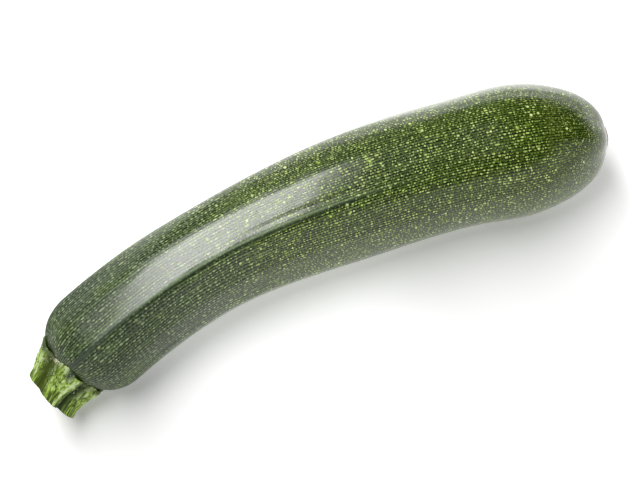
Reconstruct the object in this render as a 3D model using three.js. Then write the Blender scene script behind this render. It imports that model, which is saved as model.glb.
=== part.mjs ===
// A courgette with its cut stalk, lying on a flat surface.
//
// Units are millimetres and +Z is up. +X runs along the fruit from the stalk end to the blossom end,
// and +Y is the outer side of its bend. The origin is the bottom centre of the whole part's box.
//
// The fruit grows along a curved spine. Each cross-section is a circle with five strong and five weak
// ridges, which fade towards the belly. The stalk is a short five-ribbed piece on the fruit's seat.

import * as THREE from 'three';

// ---- Fruit: length and bend of the spine ------------------------------------------------------

const FRUIT_LENGTH = 201.2;        // along the spine, from the seat of the stalk to the blossom tip
const STEADY_BEND = 32.3;          // degrees turned evenly over the whole length
const NECK_BEND = 5;               // degrees turned in the neck alone
const NECK_BEND_LENGTH = 92;
const NECK_DIP = 6.9;              // how far the spine drops towards the floor at the stalk end
const NECK_DIP_LENGTH = 70;
const PRESS = 0.4;                 // how deep the underside is flattened where it rests
const BELLY_RISE = [100, 190];     // the spine rises with the belly over this stretch

// ---- Fruit: radii along the spine -------------------------------------------------------------

const NECK_RADIUS = 18;
const MIDDLE_RADIUS = 21.95;
const BELLY_RADIUS = 23.7;
const MIDDLE_SWELL = [51, 121.5];  // the neck widens to the middle over this stretch
const BELLY_SWELL = [144, 179.5];  // and the middle to the belly over this one
const SHOULDER_LENGTH = 13.6;      // rounded end on the stalk side
const SEAT_RADIUS = 7;             // flat seat under the stalk
const SEAT_SLANT = 8;              // degrees that the seat leans down, and how far that reaches
const SEAT_SLANT_LENGTH = 30;
const SEAT_SLANT_TOWARDS = 98;
const CAP_LENGTH = 41.2;           // rounded blossom end
const CAP_POWER = 2.04;            // 2 is an ellipse, more is squarer

// ---- Fruit: ridges. Angles run from the inner side of the bend up over the top ----------------

const RIDGES = 5;
const RIDGE_ANGLE = 74;            // where the uppermost strong ridge starts, at the stalk
const RIDGE_TWIST = -8;            // degrees that the ridges turn by the blossom end
const STRONG_WAVE = 0.020;         // heights are fractions of the radius
const WEAK_WAVE = 0.010;
const CREST_HEIGHT = 0.012;        // narrow crest on each strong ridge
const CREST_WIDTH = 6;             // degrees
const RIDGE_FADE = [60, 150];      // the ridges fade over this stretch
const RIDGE_LEFT = 0.2;            // what is left of them on the belly
const PUCKER_DEPTH = 0.05;         // creases that run into the blossom scar
const PUCKER_LENGTH = 26;

// ---- Fruit: blossom scar ----------------------------------------------------------------------

const SCAR_RADIUS = 4;
const SCAR_HEIGHT = 0.7;           // raised corky button
const SCAR_HOLLOW = 0.9;           // in a shallow hollow
const SCAR_HOLLOW_RADIUS = 7;

// ---- Stalk ------------------------------------------------------------------------------------

const STALK_GAP = 0.3;             // between the seat and the stalk's foot
const STALK_LENGTH = 11.25;
const STALK_RADIUS = 10.1;         // over the ribs, at the cut
const STALK_FLARE = 0.34;          // the foot is wider than the cut by this fraction
const STALK_LIP = 0.05;            // the foot's edge curls in by this fraction
const STALK_LIP_LENGTH = 0.14;     // over this share of the stalk's length
const STALK_LEAN = 14.4;           // degrees turned along its length, towards the inner side
const STALK_LEAN_TOWARDS = 15;
const STALK_RIB_ANGLE = 72.5;
const STALK_TWIST = -3;            // degrees that the ribs turn from the cut to the foot
const STALK_CROWDING = 7;          // degrees that the ribs are drawn towards the first one, at the cut
const STALK_RIB_SKEW = 0.25;       // how far the ribs lean to one side, under 0.5
const STALK_RIB_POWER = 0.62;      // under 1 makes broad ribs with narrow valleys
const STALK_VALLEY_DEPTH = 0.26;   // fraction of the radius
const STALK_CUT_SLANT = 18.5;      // degrees
const STALK_CUT_TOWARDS = 0;
const STALK_CUT_DISH = 0.6;
const FOOT_HUG = 0.65;             // how closely the foot follows the shoulder, from 0 to 1
const FOOT_HUG_LIMIT = 15;         // widest radius at which it does
const FOOT_HUG_FADE = 6;           // the more, the sooner it dies out up the stalk

// ---- Mesh fineness ----------------------------------------------------------------------------

const SPINE_STEPS = 402;
const SIDES_PER_RIDGE = 12;
const SIDES_DRAWN_TO_CREST = 0.7;  // 0 spreads the sides evenly, near 1 gathers them at the crests
const SEAT_RINGS = 2;
const SHOULDER_RINGS = 7;
const BODY_RINGS = 36;
const CAP_RINGS = 11;
const SCAR_RINGS = [1.75, 1.4, 1.12, 0.88, 0.5];   // as fractions of the scar's radius
const SCAR_RING_MARGIN = 1.2;      // the cap's own rings stop this far outside the first of them
const STALK_RINGS = 12;
const FOOT_RINGS = 4;
const CUT_RINGS = 3;

const UP = new THREE.Vector3(0, 0, 1);
const radians = THREE.MathUtils.degToRad;
const SIDES = RIDGES * SIDES_PER_RIDGE;
const RIDGE_STEP = 360 / RIDGES;
const CAP_START = FRUIT_LENGTH - CAP_LENGTH;

// ---- Shape rules ------------------------------------------------------------------------------

function smoothstep(range, x) {
  return THREE.MathUtils.smoothstep(x, range[0], range[1]);
}

// Radius of the plain body, before its two ends are rounded.
function bodyRadius(s) {
  const middle = (MIDDLE_RADIUS - NECK_RADIUS) * smoothstep(MIDDLE_SWELL, s);
  const belly = (BELLY_RADIUS - MIDDLE_RADIUS) * smoothstep(BELLY_SWELL, s);
  return NECK_RADIUS + middle + belly;
}

function spineHeight(s) {
  const rise = (BELLY_RADIUS - MIDDLE_RADIUS) * smoothstep(BELLY_RISE, s);
  const dip = NECK_DIP * Math.max(0, 1 - s / NECK_DIP_LENGTH) ** 2;
  return MIDDLE_RADIUS - PRESS + rise - dip;
}

// Direction of the spine seen from above, turning clockwise from the stalk to the tip.
function heading(s) {
  const neck = NECK_BEND * (1 - smoothstep([0, NECK_BEND_LENGTH], s));
  return radians(STEADY_BEND * (1 - s / FRUIT_LENGTH) + neck);
}

// The spine's points, turned so that its two ends lie along X.
function makeSpine() {
  const step = FRUIT_LENGTH / SPINE_STEPS;
  const points = [new THREE.Vector3(0, 0, spineHeight(0))];
  for (let i = 0; i < SPINE_STEPS; i += 1) {
    const angle = heading((i + 0.5) * step);
    const next = points[i].clone();
    next.x += step * Math.cos(angle);
    next.y += step * Math.sin(angle);
    next.z = spineHeight((i + 1) * step);
    points.push(next);
  }
  const tip = points[SPINE_STEPS];
  const turn = -Math.atan2(tip.y, tip.x);
  for (const point of points) point.applyAxisAngle(UP, turn);
  return { points, step, turn };
}

const spine = makeSpine();

// Place and directions of the spine at s: along it, to the inner side of the bend, and up.
function frameAt(s) {
  const place = THREE.MathUtils.clamp(s / spine.step, 0, SPINE_STEPS);
  const index = Math.min(Math.floor(place), SPINE_STEPS - 1);
  const centre = spine.points[index].clone().lerp(spine.points[index + 1], place - index);
  const angle = heading(s) + spine.turn;
  const slope = (spineHeight(s + spine.step) - spineHeight(s - spine.step)) / (2 * spine.step);
  const along = new THREE.Vector3(Math.cos(angle), Math.sin(angle), slope).normalize();
  const inner = new THREE.Vector3(Math.sin(angle), -Math.cos(angle), 0);
  const up = new THREE.Vector3().crossVectors(inner, along);
  return { centre, along, inner, up };
}

// Angle from the nearest strong ridge, between minus and plus half a ridge step.
function fromRidge(angle) {
  return THREE.MathUtils.euclideanModulo(angle + RIDGE_STEP / 2, RIDGE_STEP) - RIDGE_STEP / 2;
}

// Height of the ridges, as a fraction of the radius, at an angle measured from a strong ridge.
function ridgeRelief(s, angle) {
  const strength = 1 - (1 - RIDGE_LEFT) * smoothstep(RIDGE_FADE, s);
  const strong = STRONG_WAVE * Math.cos(radians(RIDGES * angle));
  const weak = WEAK_WAVE * Math.cos(radians(2 * RIDGES * angle));
  const crest = CREST_HEIGHT * Math.exp(-((fromRidge(angle) / CREST_WIDTH) ** 2));
  const pucker = PUCKER_DEPTH * smoothstep([FRUIT_LENGTH - PUCKER_LENGTH, FRUIT_LENGTH], s);
  return strength * (strong + weak + crest) + pucker * Math.cos(radians(RIDGES * angle));
}

// How far the shoulder falls back from the seat at a given radius.
function shoulderFall(radius) {
  const across = Math.max(0, radius - SEAT_RADIUS) / (NECK_RADIUS - SEAT_RADIUS);
  return SHOULDER_LENGTH * (1 - Math.sqrt(Math.max(0, 1 - across * across)));
}

// Push along the spine that makes the blossom scar, at a given radius from the tip.
function scarRelief(radius) {
  const hollow = SCAR_HOLLOW * Math.exp(-((radius / SCAR_HOLLOW_RADIUS) ** 2));
  const button = SCAR_HEIGHT * Math.exp(-((radius / SCAR_RADIUS) ** 4));
  return button - hollow;
}

// ---- Rings of the fruit, each with its place along the spine and its mean radius ---------------

function seatStations() {
  const stations = [];
  for (let i = 1; i < SEAT_RINGS; i += 1) stations.push({ s: 0, radius: SEAT_RADIUS * i / SEAT_RINGS });
  return stations;
}

function shoulderStations() {
  const stations = [];
  for (let i = 0; i < SHOULDER_RINGS; i += 1) {
    const turn = 0.5 * Math.PI * i / SHOULDER_RINGS;
    const s = SHOULDER_LENGTH * (1 - Math.cos(turn));
    stations.push({ s, radius: SEAT_RADIUS + (NECK_RADIUS - SEAT_RADIUS) * Math.sin(turn) });
  }
  return stations;
}

function bodyStations() {
  const stations = [];
  for (let i = 0; i < BODY_RINGS; i += 1) {
    const s = SHOULDER_LENGTH + (CAP_START - SHOULDER_LENGTH) * i / BODY_RINGS;
    stations.push({ s, radius: bodyRadius(s) });
  }
  return stations;
}

function capStation(share) {
  const s = CAP_START + CAP_LENGTH * (1 - share ** CAP_POWER) ** (1 / CAP_POWER);
  return { s, radius: bodyRadius(s) * share };
}

function capStations() {
  const stations = [];
  const innermost = SCAR_RADIUS * SCAR_RINGS[0] * SCAR_RING_MARGIN;
  for (let i = 0; i < CAP_RINGS; i += 1) {
    const station = capStation(Math.cos(0.5 * Math.PI * i / CAP_RINGS) ** (2 / CAP_POWER));
    if (station.radius > innermost) stations.push(station);
  }
  for (const fraction of SCAR_RINGS) stations.push(capStation(fraction * SCAR_RADIUS / BELLY_RADIUS));
  return stations;
}

// Angles around the fruit from the first strong ridge, gathered at the crests.
function ridgeAngles() {
  const angles = [];
  for (let i = 0; i < SIDES; i += 1) {
    const share = i / SIDES_PER_RIDGE;
    const gather = SIDES_DRAWN_TO_CREST * Math.sin(2 * Math.PI * share) / (2 * Math.PI);
    angles.push(RIDGE_STEP * (share - gather));
  }
  return angles;
}

function fruitPoint(station, angle) {
  const { centre, along, inner, up } = frameAt(station.s);
  const around = radians(RIDGE_ANGLE + RIDGE_TWIST * station.s / FRUIT_LENGTH + angle);
  const radius = station.radius * (1 + ridgeRelief(station.s, angle));
  const offset = inner.clone().multiplyScalar(radius * Math.cos(around));
  offset.addScaledVector(up, radius * Math.sin(around));
  const reach = Math.max(0, 1 - station.s / SEAT_SLANT_LENGTH) ** 2;
  const forward = radius * Math.cos(around - radians(SEAT_SLANT_TOWARDS));
  const slant = reach * Math.tan(radians(SEAT_SLANT)) * forward;
  const scar = station.s > CAP_START ? scarRelief(radius) : 0;
  const point = centre.add(offset).addScaledVector(along, scar - slant);
  point.z = Math.max(point.z, 0);
  return point;
}

// ---- Closed skins -----------------------------------------------------------------------------

// Joins rings of points, in order along the piece, with one pole point at each end.
function closedSkin(firstPole, rings, lastPole) {
  const sides = rings[0].length;
  const positions = [];
  const index = [];
  positions.push(...firstPole.toArray());
  for (const ring of rings) {
    for (const point of ring) positions.push(...point.toArray());
  }
  positions.push(...lastPole.toArray());
  const at = (ring, side) => 1 + ring * sides + (side % sides);
  const last = 1 + rings.length * sides;
  for (let side = 0; side < sides; side += 1) {
    index.push(0, at(0, side), at(0, side + 1));
    for (let ring = 0; ring < rings.length - 1; ring += 1) {
      const [a, b] = [at(ring, side), at(ring, side + 1)];
      const [c, d] = [at(ring + 1, side), at(ring + 1, side + 1)];
      index.push(a, c, d);
      index.push(a, d, b);
    }
    index.push(last, at(rings.length - 1, side + 1), at(rings.length - 1, side));
  }
  const geometry = new THREE.BufferGeometry();
  geometry.setAttribute('position', new THREE.Float32BufferAttribute(positions, 3));
  geometry.setIndex(index);
  geometry.computeVertexNormals();
  return geometry;
}

// ---- Fruit ------------------------------------------------------------------------------------

function makeFruit() {
  const stations = [...seatStations(), ...shoulderStations(), ...bodyStations(), ...capStations()];
  const angles = ridgeAngles();
  const rings = stations.map((station) => angles.map((angle) => fruitPoint(station, angle)));
  const seatCentre = fruitPoint({ s: 0, radius: 0 }, 0);
  const tip = fruitPoint({ s: FRUIT_LENGTH, radius: 0 }, 0);
  const material = new THREE.MeshStandardMaterial({ color: 0x35501c, roughness: 0.38, metalness: 0 });
  const mesh = new THREE.Mesh(closedSkin(seatCentre, rings, tip), material);
  mesh.name = 'fruit';
  return mesh;
}

// ---- Stalk ------------------------------------------------------------------------------------

// Directions at the seat: away from the fruit, square to the seat, and two across it.
function seatFrame() {
  const { centre, along, inner, up } = frameAt(0);
  const tilt = radians(SEAT_SLANT_TOWARDS);
  const slope = Math.tan(radians(SEAT_SLANT));
  const away = along.clone().negate();
  away.addScaledVector(inner, -slope * Math.cos(tilt));
  away.addScaledVector(up, -slope * Math.sin(tilt));
  away.normalize();
  const across = inner.clone().addScaledVector(away, -inner.dot(away)).normalize();
  const over = new THREE.Vector3().crossVectors(away, across);
  return { centre, away, across, over };
}

const seat = seatFrame();

// Centre and directions of the stalk at t, from 0 at its foot to 1 at the cut.
function stalkFrameAt(t) {
  const lean = radians(STALK_LEAN);
  const towards = radians(STALK_LEAN_TOWARDS);
  const sideways = seat.across.clone().multiplyScalar(Math.cos(towards));
  sideways.addScaledVector(seat.over, Math.sin(towards));
  const hinge = new THREE.Vector3().crossVectors(seat.away, sideways);
  const arc = STALK_LENGTH / lean;
  const centre = seat.centre.clone().addScaledVector(seat.away, STALK_GAP + arc * Math.sin(lean * t));
  centre.addScaledVector(sideways, arc * (1 - Math.cos(lean * t)));
  const turned = (direction) => direction.clone().applyAxisAngle(hinge, lean * t);
  return { centre, away: turned(seat.away), across: turned(seat.across), over: turned(seat.over) };
}

// Radius over ribs and valleys. The angle is measured from a rib, as if the ribs were even.
function stalkRadius(t, angle) {
  const share = 2 * fromRidge(angle) / RIDGE_STEP;
  const skewed = share + STALK_RIB_SKEW * (1 - share * share);
  const rib = Math.abs(Math.cos(0.5 * Math.PI * skewed)) ** STALK_RIB_POWER;
  const flare = 1 + STALK_FLARE * (1 - t) ** 2;
  const lip = 1 - STALK_LIP * Math.max(0, 1 - t / STALK_LIP_LENGTH) ** 2;
  return STALK_RADIUS * flare * lip * (1 - STALK_VALLEY_DEPTH * (1 - rib));
}

// A point of the stalk: share is the part of the full radius, push is along the stalk.
function stalkPoint(t, angle, share, push) {
  const { centre, away, across, over } = stalkFrameAt(t);
  const crowding = STALK_CROWDING * t * Math.sin(radians(angle));
  const around = radians(STALK_RIB_ANGLE + angle - crowding + STALK_TWIST * (1 - t));
  const radius = share * stalkRadius(t, angle);
  const point = centre.clone().addScaledVector(across, radius * Math.cos(around));
  point.addScaledVector(over, radius * Math.sin(around));
  const cut = t * Math.tan(radians(STALK_CUT_SLANT));
  point.addScaledVector(away, push + cut * radius * Math.cos(around - radians(STALK_CUT_TOWARDS)));
  return point;
}

// Angles around the stalk from its first rib, as if the ribs were even, gathered at the valleys.
function stalkAngles() {
  return ridgeAngles().map((angle) => angle - RIDGE_STEP / 2);
}

// Push that lays the foot's edge back over the fruit's shoulder.
function footPush(t, angle, share) {
  const radius = Math.min(share * stalkRadius(t, angle), FOOT_HUG_LIMIT);
  return -FOOT_HUG * shoulderFall(radius) * (1 - t) ** FOOT_HUG_FADE;
}

function makeStalk() {
  const angles = stalkAngles();
  const rings = [];
  for (let i = CUT_RINGS - 1; i > 0; i -= 1) {
    const share = i / CUT_RINGS;
    const dish = -STALK_CUT_DISH * (1 - share * share);
    rings.push(angles.map((angle) => stalkPoint(1, angle, share, dish)));
  }
  for (let i = STALK_RINGS; i >= 0; i -= 1) {
    const t = i / STALK_RINGS;
    rings.push(angles.map((angle) => stalkPoint(t, angle, 1, footPush(t, angle, 1))));
  }
  for (let i = FOOT_RINGS - 1; i > 0; i -= 1) {
    const share = i / FOOT_RINGS;
    rings.push(angles.map((angle) => stalkPoint(0, angle, share, footPush(0, angle, share))));
  }
  const cutCentre = stalkPoint(1, 0, 0, -STALK_CUT_DISH);
  const footCentre = stalkPoint(0, 0, 0, 0);
  const material = new THREE.MeshStandardMaterial({ color: 0x7f9c3f, roughness: 0.7, metalness: 0 });
  const mesh = new THREE.Mesh(closedSkin(cutCentre, rings, footCentre), material);
  mesh.name = 'stem';
  return mesh;
}

// ---- Whole part -------------------------------------------------------------------------------

const courgette = new THREE.Group();
courgette.add(makeFruit(), makeStalk());

// The origin goes to the bottom centre of the box.
const box = new THREE.Box3().setFromObject(courgette);
const middle = box.getCenter(new THREE.Vector3());
courgette.position.set(-middle.x, -middle.y, -box.min.z);

export default courgette;
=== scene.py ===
"""A courgette with its cut stalk, lying on a pale floor under a soft studio light.

Shapes are worked out in millimetres and become metres when they are placed. +X runs from the stalk
to the blossom end, +Y is the outer side of the bend and +Z is up.
"""

import math

import bpy
import numpy as np
from mathutils import Matrix, Vector


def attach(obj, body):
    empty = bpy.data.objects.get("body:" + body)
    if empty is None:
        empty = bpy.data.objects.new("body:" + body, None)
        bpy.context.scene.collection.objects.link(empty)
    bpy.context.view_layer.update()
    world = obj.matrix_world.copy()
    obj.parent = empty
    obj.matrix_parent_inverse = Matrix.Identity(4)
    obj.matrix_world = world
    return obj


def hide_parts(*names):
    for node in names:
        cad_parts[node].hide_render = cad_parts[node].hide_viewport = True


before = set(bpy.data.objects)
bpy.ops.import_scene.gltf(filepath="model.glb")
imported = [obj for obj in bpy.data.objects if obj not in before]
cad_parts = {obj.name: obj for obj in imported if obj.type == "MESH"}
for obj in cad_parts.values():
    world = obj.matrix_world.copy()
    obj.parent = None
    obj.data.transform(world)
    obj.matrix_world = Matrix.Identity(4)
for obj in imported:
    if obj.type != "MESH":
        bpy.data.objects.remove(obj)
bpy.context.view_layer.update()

MM = 0.001

# ---- Fruit: the same growth rules as the solid's -------------------------------------------------

FRUIT_LENGTH = 201.2
FRUIT_START = (-92.183, -10.931)   # where the seat's middle lies
STEADY_BEND = 32.3                 # degrees turned evenly over the whole length
NECK_BEND = 5.0                    # degrees turned in the neck alone
NECK_BEND_LENGTH = 92.0
NECK_DIP = 6.9                     # how far the spine drops at the stalk end
NECK_DIP_LENGTH = 70.0
PRESS = 0.4                        # how deep the underside is flattened
BELLY_RISE = (100.0, 190.0)
NECK_RADIUS = 18.0
MIDDLE_RADIUS = 21.95
BELLY_RADIUS = 23.7
MIDDLE_SWELL = (51.0, 121.5)
BELLY_SWELL = (144.0, 179.5)
SHOULDER_LENGTH = 13.6
SEAT_RADIUS = 7.0
SEAT_SLANT = 8.0
SEAT_SLANT_LENGTH = 30.0
SEAT_SLANT_TOWARDS = 98.0
CAP_LENGTH = 41.2
CAP_POWER = 2.04
CAP_START = FRUIT_LENGTH - CAP_LENGTH

RIDGES = 5
RIDGE_STEP = 360.0 / RIDGES
RIDGE_ANGLE = 74.0
RIDGE_TWIST = -8.0
STRONG_WAVE = 0.020                # heights are fractions of the radius
WEAK_WAVE = 0.010
CREST_HEIGHT = 0.012
CREST_WIDTH = 6.0
RIDGE_FADE = (60.0, 150.0)
RIDGE_LEFT = 0.2
PUCKER_DEPTH = 0.05
PUCKER_LENGTH = 26.0
GROOVE_AT = 2.3                    # mm beside the uppermost ridge
GROOVE_WIDTH = 0.95
GROOVE_SPAN = (62.0, 82.0, 104.0, 116.0)   # where it begins, is full, fades and is gone
SCAR_RADIUS = 4.0
SCAR_HEIGHT = 0.7
SCAR_HOLLOW = 0.9
SCAR_HOLLOW_RADIUS = 7.0
CORK_EDGE = (5.2, 3.4)             # radius where the scar's roughness begins, and where it is full

# ---- Stalk: the same growth rules as the solid's -------------------------------------------------

STALK_GAP = 0.3
STALK_LENGTH = 11.25
STALK_RADIUS = 10.1
STALK_FLARE = 0.34
STALK_LIP = 0.05
STALK_LIP_LENGTH = 0.14
STALK_LEAN = 14.4
STALK_LEAN_TOWARDS = 15.0
STALK_RIB_ANGLE = 72.5
STALK_TWIST = -3.0
STALK_CROWDING = 7.0
STALK_RIB_SKEW = 0.25
STALK_RIB_POWER = 0.62
STALK_VALLEY_DEPTH = 0.26
STALK_VALLEY_ROUNDING = 0.003
STALK_CUT_SLANT = 18.5
STALK_CUT_TOWARDS = 0.0
STALK_CUT_DISH = 0.6
FOOT_HUG = 0.65
FOOT_HUG_LIMIT = 15.0
FOOT_HUG_FADE = 6.0
STALK_EDGE_AT = 19.0               # degrees from each rib's middle to its raised edge
STALK_EDGE_WIDTH = 3.2
STALK_CRACK_AT = 17.0              # and to the crack at its foot
STALK_CRACK_WIDTH = 11.0
STALK_CRACK_SHARE = 0.75           # of the crack's depth
STALK_WIDE_CRACK_AT = -76.0        # one rib stands clear of the fruit all along its foot
STALK_WIDE_CRACK_WIDTH = 20.0
STALK_WIDE_CRACK_SHARE = 1.3

# ---- Fineness of the two skins -------------------------------------------------------------------

FRUIT_SIDES = 300
SEAT_RINGS = 4
SHOULDER_RINGS = 24
BODY_RINGS = 190
CAP_RINGS = 62
SCAR_RINGS = 24
SCAR_FROM = 8.0                    # radius inside which the rings round the scar are even
STALK_SIDES = 540
CUT_RINGS = 20
STALK_RINGS = 96
FOOT_RINGS = 12
POLE_SIZE = 1e-4                   # rings smaller than this are drawn together into a pole
POLE_MERGE = 1e-6                  # metres


# ---- Node trees written as expressions -----------------------------------------------------------

class Socket:
    """An output of a node. In an expression it adds the nodes that work the expression out."""

    def __init__(self, nodes, link):
        self.nodes = nodes
        self.link = link

    def out(self, name):
        """Another output of the same node."""
        return Socket(self.nodes, self.link.node.outputs[name])

    def __add__(self, other):
        return self.nodes.math("ADD", self, other)

    def __radd__(self, other):
        return self.nodes.math("ADD", other, self)

    def __sub__(self, other):
        return self.nodes.math("SUBTRACT", self, other)

    def __rsub__(self, other):
        return self.nodes.math("SUBTRACT", other, self)

    def __mul__(self, other):
        return self.nodes.math("MULTIPLY", self, other)

    def __rmul__(self, other):
        return self.nodes.math("MULTIPLY", other, self)

    def __truediv__(self, other):
        return self.nodes.math("DIVIDE", self, other)

    def __pow__(self, other):
        return self.nodes.math("POWER", self, other)

    def __neg__(self):
        return self.nodes.math("MULTIPLY", self, -1.0)


def is_vector(value):
    return isinstance(value, tuple) or isinstance(value, Socket) and value.link.type == "VECTOR"


class Nodes:
    """Adds nodes to one tree."""

    def __init__(self, tree):
        self.tree = tree

    def add(self, kind, settings=None, values=None):
        """Adds a node with its settings and its sockets' values or links. Gives its first output."""
        node = self.tree.nodes.new(kind)
        for name, value in (settings or {}).items():
            setattr(node, name, value)
        for key, value in (values or {}).items():
            if isinstance(key, int):
                socket = node.inputs[key]
            else:
                socket = next(s for s in node.inputs if s.enabled and s.name == key)
            if isinstance(value, Socket):
                self.tree.links.new(value.link, socket)
            else:
                socket.default_value = value
        shown = [s for s in node.outputs if s.enabled]
        return Socket(self, shown[0]) if shown else None

    def math(self, operation, *values):
        if any(is_vector(v) for v in values):
            spread = [v if is_vector(v) or isinstance(v, Socket) else (v, v, v) for v in values]
            inputs = dict(enumerate(spread))
            return self.add("ShaderNodeVectorMath", {"operation": operation}, inputs)
        return self.add("ShaderNodeMath", {"operation": operation}, dict(enumerate(values)))

    def exp(self, x):
        return self.math("EXPONENT", x)

    def sin(self, degrees):
        return self.math("SINE", degrees * math.radians(1))

    def cos(self, degrees):
        return self.math("COSINE", degrees * math.radians(1))

    def hill(self, x, width):
        """1 where x is 0, falling off on both sides as a bell of this width."""
        scaled = x / width
        return self.exp(-(scaled * scaled))

    def smooth(self, low, high, x, start=0.0, end=1.0):
        """From start to end as x goes from low to high, easing in and out."""
        return self.add(
            "ShaderNodeMapRange",
            {"interpolation_type": "SMOOTHSTEP"},
            {"Value": x, "From Min": low, "From Max": high, "To Min": start, "To Max": end},
        )

    def span(self, x, start, full, fade, end):
        """1 where x is from full to fade, easing down to 0 at start and at end."""
        return self.smooth(start, full, x) * self.smooth(end, fade, x)

    def mix(self, amount, first, second):
        """The first number where amount is 0 and the second where it is 1."""
        return first + (second - first) * amount

    def wrapped(self, x, period):
        """How far x lies above the nearest multiple of the period, or below it if negative."""
        return self.math("FLOORED_MODULO", x + period / 2, period) - period / 2

    def combine(self, x, y, z):
        return self.add("ShaderNodeCombineXYZ", None, {"X": x, "Y": y, "Z": z})

    def separate(self, vector):
        x = self.add("ShaderNodeSeparateXYZ", None, {"Vector": vector})
        return x, x.out("Y"), x.out("Z")

    def scaled(self, place, length, width=None):
        """A place in millimetres, counted in bumps of this length along and this width across."""
        width = width or length
        return place * (1 / length, 1 / width, 1 / width)

    def noise(self, vector, detail=2.0, roughness=0.5):
        """Smooth noise from 0 to 1, with bumps about 1 apart."""
        values = {"Vector": vector, "Scale": 1.0, "Detail": detail, "Roughness": roughness}
        return self.add("ShaderNodeTexNoise", None, values)

    def cells(self, vector, randomness=1.0, dimensions="3D"):
        """Distance to the nearest of points about 1 apart. Its Color is random for each point."""
        values = {"Vector": vector, "Scale": 1.0, "Randomness": randomness}
        return self.add("ShaderNodeTexVoronoi", {"voronoi_dimensions": dimensions}, values)

    def blend(self, amount, first, second):
        """The first colour where amount is 0 and the second where it is 1."""
        values = {"Factor": amount, "A": first, "B": second}
        return self.add("ShaderNodeMix", {"data_type": "RGBA"}, values)


class Growth(Nodes):
    """A Geometry Nodes tree that grows a piece from a path or a surface."""

    def __init__(self, name):
        super().__init__(bpy.data.node_groups.new(name, "GeometryNodeTree"))
        self.values = {}
        sockets = self.tree.interface
        sockets.new_socket(name="Geometry", in_out="INPUT", socket_type="NodeSocketGeometry")
        sockets.new_socket(name="Geometry", in_out="OUTPUT", socket_type="NodeSocketGeometry")
        self.entry = self.tree.nodes.new("NodeGroupInput")
        self.source = Socket(self, self.entry.outputs[0])

    def ask(self, name, value):
        """A named input of the tree, and the value that this piece gives it."""
        kind = "NodeSocketInt" if isinstance(value, int) else "NodeSocketFloat"
        item = self.tree.interface.new_socket(name=name, in_out="INPUT", socket_type=kind)
        self.values[item.identifier] = value
        return Socket(self, next(s for s in self.entry.outputs if s.identifier == item.identifier))

    def named(self, name, kind="FLOAT"):
        return self.add("GeometryNodeInputNamedAttribute", {"data_type": kind}, {"Name": name})

    def store(self, geometry, name, value, kind="FLOAT"):
        return self.add(
            "GeometryNodeStoreNamedAttribute",
            {"data_type": kind, "domain": "POINT"},
            {"Geometry": geometry, "Name": name, "Value": value},
        )

    def sweep(self, sides):
        """The source path swept into a tube of this many sides, with "turn" from 0 to 1 round it."""
        ring = self.add("GeometryNodeCurvePrimitiveCircle", None, {"Resolution": sides, "Radius": 1.0})
        share = self.add("GeometryNodeInputIndex") / sides
        ring = self.store(ring, "turn", share)
        path = self.add("GeometryNodeMeshToCurve", None, {"Mesh": self.source})
        return self.add("GeometryNodeCurveToMesh", None, {"Curve": path, "Profile Curve": ring})

    def join(self, first, second):
        whole = self.add("GeometryNodeJoinGeometry", None, {"Geometry": first})
        self.tree.links.new(second.link, whole.link.node.inputs[0])
        return whole

    def close(self, tube, ring_size):
        """Draws the end rings, where ring_size is 0, together into poles, and smooths the shading."""
        ends = self.math("LESS_THAN", ring_size, POLE_SIZE)
        values = {"Geometry": tube, "Selection": ends, "Distance": POLE_MERGE}
        skin = self.add("GeometryNodeMergeByDistance", None, values)
        for domain in ("EDGE", "FACE"):
            skin = self.add("GeometryNodeSetShadeSmooth", {"domain": domain}, {"Geometry": skin})
        return skin

    def run(self, piece, geometry, material):
        """Puts the tree on a piece, and leaves the piece holding the plain mesh that it makes."""
        real = self.add("GeometryNodeRealizeInstances", None, {"Geometry": geometry})
        values = {"Geometry": real, "Material": material}
        dressed = self.add("GeometryNodeSetMaterial", None, values)
        self.add("NodeGroupOutput", None, {0: dressed})
        modifier = piece.modifiers.new("growth", "NODES")
        modifier.node_group = self.tree
        for identifier, value in self.values.items():
            modifier[identifier] = value
        graph = bpy.context.evaluated_depsgraph_get()
        grown = bpy.data.meshes.new_from_object(
            piece.evaluated_get(graph), preserve_all_data_layers=True, depsgraph=graph
        )
        piece.modifiers.remove(modifier)
        seed = piece.data
        piece.data = grown
        bpy.data.meshes.remove(seed)
        grown.name = piece.name
        return piece


def path_piece(name, columns):
    """An object whose mesh is a line of points, one to each row of the columns that it carries."""
    count = len(next(iter(columns.values())))
    points = [(i * MM, 0.0, 0.0) for i in range(count)]
    mesh = bpy.data.meshes.new(name)
    mesh.from_pydata(points, [(i, i + 1) for i in range(count - 1)], [])
    for column, values in columns.items():
        values = np.asarray(values, np.float32)
        kind, key = ("FLOAT_VECTOR", "vector") if values.ndim == 2 else ("FLOAT", "value")
        mesh.attributes.new(column, kind, "POINT").data.foreach_set(key, values.ravel())
    piece = bpy.data.objects.new(name, mesh)
    bpy.context.scene.collection.objects.link(piece)
    return piece


# ---- Shape rules of the fruit --------------------------------------------------------------------

def smoothstep(span, x):
    share = np.clip((x - span[0]) / (span[1] - span[0]), 0, 1)
    return share * share * (3 - 2 * share)


def body_radius(s):
    middle = (MIDDLE_RADIUS - NECK_RADIUS) * smoothstep(MIDDLE_SWELL, s)
    belly = (BELLY_RADIUS - MIDDLE_RADIUS) * smoothstep(BELLY_SWELL, s)
    return NECK_RADIUS + middle + belly


def spine_height(s):
    rise = (BELLY_RADIUS - MIDDLE_RADIUS) * smoothstep(BELLY_RISE, s)
    dip = NECK_DIP * np.maximum(0, 1 - s / NECK_DIP_LENGTH) ** 2
    return MIDDLE_RADIUS - PRESS + rise - dip


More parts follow.
